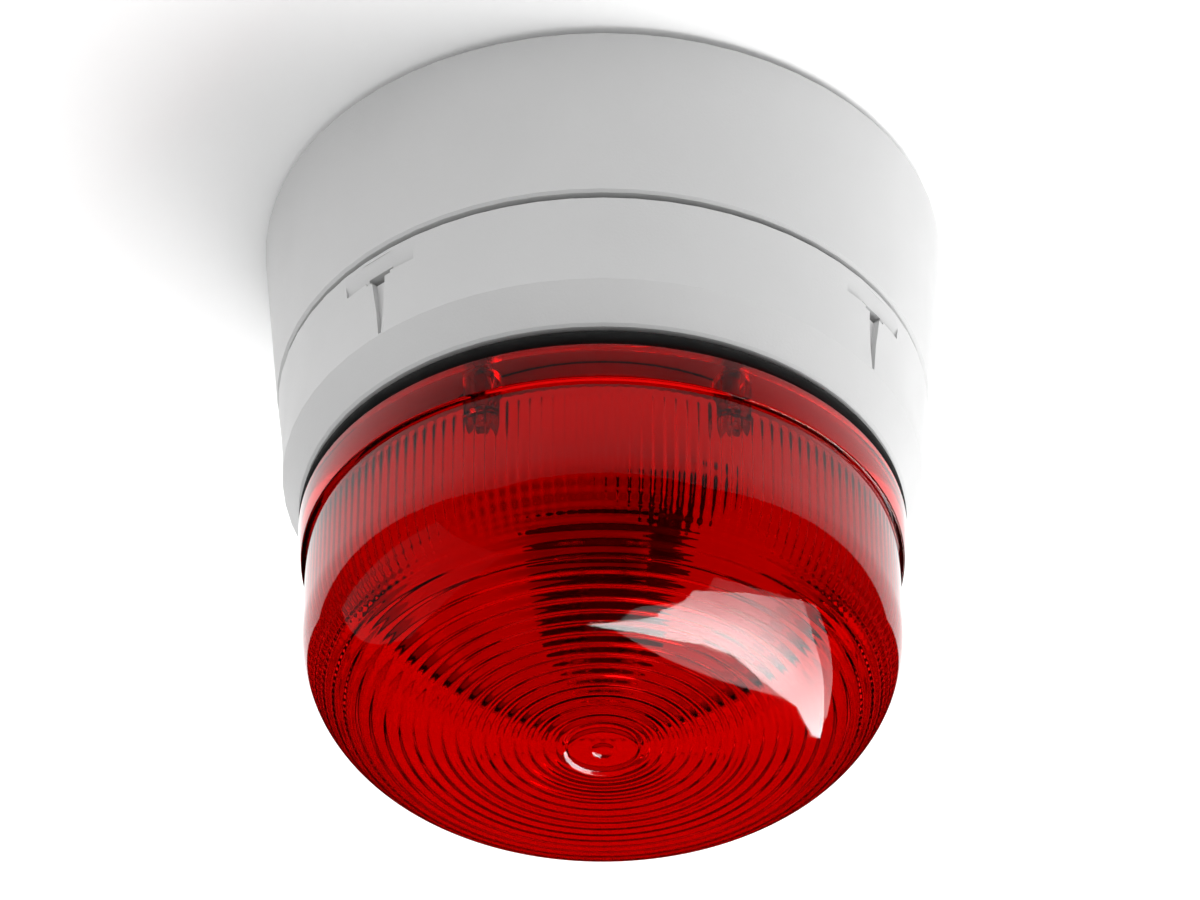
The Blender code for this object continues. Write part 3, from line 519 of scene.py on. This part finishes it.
def lens_outside(apex, top, top_radius):
    """Rows of the outer surface from the axis up: a recessed eye, and a collar with rounded corners."""
    r, z, *_ = lens_curve(apex, 0, OUTSIDE_STEPS)
    z = z + EYE_RECESS * (1 - fade(r, EYE_RADIUS - 1.0 * MM, EYE_RADIUS))
    z = z + GATE_RECESS * (1 - fade(r, GATE_RADIUS - 0.8 * MM, GATE_RADIUS))
    collar_radius = top_radius - COLLAR_TAPER
    corner = COLLAR_CORNER
    profile = [point for point in zip(r, z) if point[1] < COLLAR_BOTTOM - 0.6 * MM]
    neck = SHOULDER_TOP_RADIUS
    profile.append((neck, COLLAR_BOTTOM - 0.4 * MM))
    profile.append((neck - 0.12 * MM, COLLAR_BOTTOM - 0.15 * MM))
    profile.append((neck - 0.12 * MM, COLLAR_BOTTOM))
    profile += arc((collar_radius - corner, COLLAR_BOTTOM + corner), corner, -90, 0, 4)
    profile += arc((top_radius - corner, top - corner), corner, 0, 90, 4)
    return circle_rows(profile, LENS_SIDES)


def lens():
    low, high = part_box("lens")
    inside = lens_inside(low.z)
    top_inner = Vector(inside[-1][0][:2]).length + 0.3 * MM
    collar = circle_rows([(top_inner + 0.2 * MM, high.z)], LENS_SIDES)
    rows = lens_outside(low.z, high.z, high.x) + collar + inside[::-1]
    mesh = grid_mesh("lens_shell", rows, poles=(0, len(rows) - 1))
    made = piece("lens_shell", mesh, "red_lens", "head", ("lens",))
    made.data.set_sharp_from_angle(angle=math.radians(50))


def lens_posts():
    """The four hollow posts inside the collar that the lens's screws hold."""
    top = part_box("lens")[1].z
    edge = 0.3 * MM
    profile = [
        (POST_BORE, POST_BOTTOM + POST_FLOOR),
        (POST_BORE, top - 0.1 * MM),
        (POST_OUTER, top - 0.1 * MM),
        *arc((POST_OUTER - edge, POST_BOTTOM + edge), edge, 0, -90, 3),
        (POST_VENT, POST_BOTTOM),
        (POST_VENT, POST_BOTTOM + POST_FLOOR),
    ]
    for index, azimuth in enumerate(POST_AZIMUTHS):
        rows = circle_rows(profile, 32, around(azimuth, POST_RADIUS))
        made = piece(f"lens_post_{index + 1}", grid_mesh("lens_post", rows), "red_lens", "head", ("lens",))
        made.data.set_sharp_from_angle(angle=math.radians(40))


def lens_seal():
    """A rubber seal with a rounded outer lip."""
    low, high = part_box("lens_seal")
    lip = (high.z - low.z) / 2
    inner = high.x - 2.2 * MM
    profile = arc((high.x - lip, low.z + lip), lip, -90, 90, 10)
    profile += [(inner, high.z), (inner, low.z)]
    mesh = grid_mesh("lens_seal_lip", circle_rows(profile, 192))
    made = piece("lens_seal_lip", mesh, "black_rubber", "head", ("lens_seal",))
    made.data.set_sharp_from_angle(angle=math.radians(40))


def reflector_skirt():
    """A thin white ring that closes the gap between the reflector's rim and the housing's opening."""
    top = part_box("body_housing")[0].z - SKIRT_GAP
    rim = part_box("reflector")[1]
    inner = rim.x
    outer = inner + SKIRT_WALL
    bottom = rim.z + SKIRT_GAP / 2
    profile = [(outer, bottom), (outer, top), (inner, top), (inner, bottom)]
    mesh = grid_mesh("reflector_skirt", circle_rows(profile, 192))
    made = piece("reflector_skirt", mesh, "bright_white", "head")
    made.data.set_sharp_from_angle(angle=math.radians(40))


# ---------------------------------------------------------------- flash tube


def sweep(name, path, radius, sides, bore=None):
    """A round tube along a path of Vectors, closed at its ends, with a bore through it if one is given."""
    rows = []
    normal = Vector((0, 1, 0))
    for index, point in enumerate(path):
        ahead = (path[min(index + 1, len(path) - 1)] - path[max(index - 1, 0)]).normalized()
        normal = (normal - ahead * normal.dot(ahead)).normalized()
        side = ahead.cross(normal)
        turns = [2 * math.pi * step / sides for step in range(sides)]
        rows.append([normal * math.cos(t) + side * math.sin(t) for t in turns])
    outer = [[point + offset * radius for offset in row] for point, row in zip(path, rows)]
    if bore:
        inner = [[point + offset * bore for offset in row] for point, row in zip(path, rows)]
        return grid_mesh(name, outer + inner[::-1])
    ends = [[path[0]] * sides] + outer + [[path[-1]] * sides]
    return grid_mesh(name, ends, poles=(0, len(ends) - 1))


def u_path(low, high, leg_steps=6, bend_steps=24):
    """Down one leg, round the bend and up the other, inside the CAD tube's box."""
    bend_z = low.z + TUBE_RADIUS + TUBE_LEG_X
    levels = [high.z + (bend_z - high.z) * step / leg_steps for step in range(leg_steps)]
    path = [Vector((-TUBE_LEG_X, 0, level)) for level in levels]
    for step in range(bend_steps + 1):
        angle = math.pi * step / bend_steps
        path.append(Vector((-TUBE_LEG_X * math.cos(angle), 0, bend_z - TUBE_LEG_X * math.sin(angle))))
    path += [Vector((-p.x, 0, p.z)) for p in reversed(path[:leg_steps])]
    return path


def flash_tube():
    """The xenon tube's hollow glass, its electrodes, and the trigger wire wound on it."""
    low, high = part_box("flash_tube")
    path = u_path(low, high)
    glass = sweep("flash_tube_glass", path, TUBE_RADIUS - 0.03 * MM, 28, TUBE_BORE)
    piece("flash_tube_glass", glass, "clear_glass", "head", ("flash_tube",))
    for side, name in ((-1, "left"), (1, "right")):
        x = side * TUBE_LEG_X
        rod = [Vector((x, 0, high.z - 0.1 * MM)), Vector((x, 0, high.z - 2.2 * MM))]
        cap = [Vector((x, 0, high.z - 2.3 * MM)), Vector((x, 0, high.z - 4.2 * MM))]
        piece(f"electrode_rod_{name}", sweep("electrode_rod", rod, 0.45 * MM, 16), "zinc", "head")
        piece(f"electrode_cap_{name}", sweep("electrode_cap", cap, 1.0 * MM, 20), "zinc", "head")
    wire = wound_path(path, TUBE_RADIUS + WIRE_RADIUS + 0.03 * MM, WIRE_TURNS)
    piece("trigger_wire", sweep("trigger_wire", wire, WIRE_RADIUS, 8), "zinc", "head")


def wound_path(path, radius, turns, steps=20):
    """A helix of this many turns round the middle stretch of a path."""
    lengths = [0.0]
    for first, second in zip(path, path[1:]):
        lengths.append(lengths[-1] + (second - first).length)
    start, end = 0.22 * lengths[-1], 0.78 * lengths[-1]
    points = []
    for step in range(turns * steps + 1):
        distance = start + (end - start) * step / (turns * steps)
        index = max(i for i, length in enumerate(lengths[:-1]) if length <= distance)
        share = (distance - lengths[index]) / (lengths[index + 1] - lengths[index])
        point = path[index].lerp(path[index + 1], share)
        ahead = (path[index + 1] - path[index]).normalized()
        across = Vector((0, 1, 0))
        side = ahead.cross(across)
        angle = 2 * math.pi * step / steps
        points.append(point + (across * math.cos(angle) + side * math.sin(angle)) * radius)
    return points


# ---------------------------------------------------------------- carried-over CAD nodes


def dress_nodes():
    """Gives each CAD node its material, smooth walls and sharp edges."""
    slots = {entry["node"]: entry["material_slot"] for entry in frame["record"]["subparts"]}
    for name, node in frame["nodes"].items():
        node.data.materials.clear()
        node.data.materials.append(MATERIALS[slots[name]])
        node.data.shade_smooth()
        weld = node.modifiers.new("weld", "WELD")
        weld.merge_threshold = 0.002 * MM
        split = node.modifiers.new("edges", "EDGE_SPLIT")
        low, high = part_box(name)
        split.split_angle = math.radians(18 if high.x - low.x > 60 * MM else 38)


# ---------------------------------------------------------------- stage, light and camera


def one_sided(name, colour, glow=0.0):
    """A matt paint that shows on its front only, so that a view from behind it looks through."""
    surface = Surface(name, colour, 0.9)
    surface.set(Emission_Color=(1.0, 1.0, 1.0, 1.0), Emission_Strength=glow)
    surface.tint(0.01, 3).bump(0.1 * MM, 250)
    clear = surface.nodes.new("ShaderNodeBsdfTransparent")
    geometry = surface.nodes.new("ShaderNodeNewGeometry")
    surface.blend(geometry.outputs["Backfacing"], clear)
    return surface.material


def plane(name, size, place, material, up=False, reflected=False):
    """A square of stage that faces down, or up. It shows in the polished lens only if it is reflected."""
    bm = bmesh.new()
    bmesh.ops.create_grid(bm, x_segments=1, y_segments=1, size=size / 2)
    if not up:
        bmesh.ops.reverse_faces(bm, faces=bm.faces)
    mesh = bpy.data.meshes.new(name)
    bm.to_mesh(mesh)
    bm.free()
    mesh.materials.append(material)
    made = bpy.data.objects.new(name, mesh)
    made.location = place
    made.visible_glossy = reflected
    bpy.context.scene.collection.objects.link(made)


def stage():
    """A pale ceiling just under the back face's level, and a pale floor far below."""
    top = cad_box[1].z
    ceiling = one_sided("ceiling_paint", (0.88, 0.88, 0.88), CEILING_GLOW)
    floor = one_sided("floor_paint", (0.80, 0.80, 0.79), FLOOR_GLOW)
    plane("ceiling", CEILING_SIZE, (0, 0, top - CEILING_SINK), ceiling)
    near = (0, NEAR_CEILING_Y, top - NEAR_CEILING_SINK)
    plane("ceiling_near", NEAR_CEILING_SIZE, near, ceiling, reflected=True)
    plane("floor", FLOOR_SIZE, (0, 0, FLOOR_LEVEL), floor, up=True)


def facing(direction, distance, spin=0.0):
    """The place of a panel that faces the device from this direction, turned about its own axis by spin."""
    middle = (cad_box[0] + cad_box[1]) / 2
    away = Vector(direction).normalized()
    turn = away.to_track_quat("Z", "Y").to_matrix() @ Matrix.Rotation(math.radians(spin), 3, "Z")
    return Matrix.Translation(middle + away * distance) @ turn.to_4x4()


def softbox(name, direction, distance, size, power, spin=0.0):
    light = bpy.data.lights.new(name, "AREA")
    light.shape = "RECTANGLE"
    light.size, light.size_y = size
    light.energy = power
    made = bpy.data.objects.new(name, light)
    made.matrix_world = facing(direction, distance, spin)
    bpy.context.scene.collection.objects.link(made)


def glint():
    """The key's outline as a bright panel that shows in the polished lens only."""
    mesh = bpy.data.meshes.new("glint")
    mesh.from_pydata([(x, y, 0) for x, y in GLINT_OUTLINE], [], [range(len(GLINT_OUTLINE))])
    surface = Surface("glint_paint", (0.0, 0.0, 0.0), 0.9)
    surface.set(Emission_Color=(1.0, 1.0, 1.0, 1.0))
    surface.tint(0.01, 3)
    split = surface.nodes.new("ShaderNodeSeparateXYZ")
    surface.links.new(surface.place, split.inputs["Vector"])
    strength = surface.ranged(split.outputs["Y"], *GLINT_STRENGTHS, *GLINT_FALL)
    surface.links.new(strength, surface.shader.inputs["Emission Strength"])
    mesh.materials.append(surface.material)
    made = bpy.data.objects.new("glint", mesh)
    made.matrix_world = facing(KEY_DIRECTION, KEY_DISTANCE, KEY_SPIN)
    bpy.context.scene.collection.objects.link(made)
    made.visible_camera = False
    made.visible_diffuse = False
    made.visible_transmission = False
    made.visible_shadow = False
    polished = bpy.data.collections.new("polished")
    polished.objects.link(bpy.data.objects["lens_shell"])
    made.light_linking.receiver_collection = polished


def lights():
    """A soft key from behind, below and to the right, its glint on the lens, and a pale room."""
    softbox("key", KEY_DIRECTION, KEY_DISTANCE, KEY_SIZE, KEY_POWER, KEY_SPIN)
    glint()
    softbox("fill", *FILL)
    softbox("top", *TOP)
    world = bpy.data.worlds.new("studio")
    world.use_nodes = True
    background = world.node_tree.nodes["Background"]
    background.inputs["Color"].default_value = ROOM_COLOUR
    background.inputs["Strength"].default_value = ROOM_STRENGTH
    world.cycles_visibility.glossy = False
    bpy.context.scene.world = world


def camera():
    data = bpy.data.cameras.new("camera")
    data.lens = CAMERA_LENS
    data.sensor_width = 36
    data.clip_start = 0.01
    made = bpy.data.objects.new("camera", data)
    made.location = CAMERA_PLACE
    made.rotation_euler = (math.radians(90 + CAMERA_PITCH), 0, 0)
    bpy.context.scene.collection.objects.link(made)
    bpy.context.scene.camera = made


bpy.context.scene.view_settings.view_transform = "Standard"
dress_nodes()
lens()
lens_posts()
lens_seal()
reflector_skirt()
flash_tube()
stage()
lights()
camera()
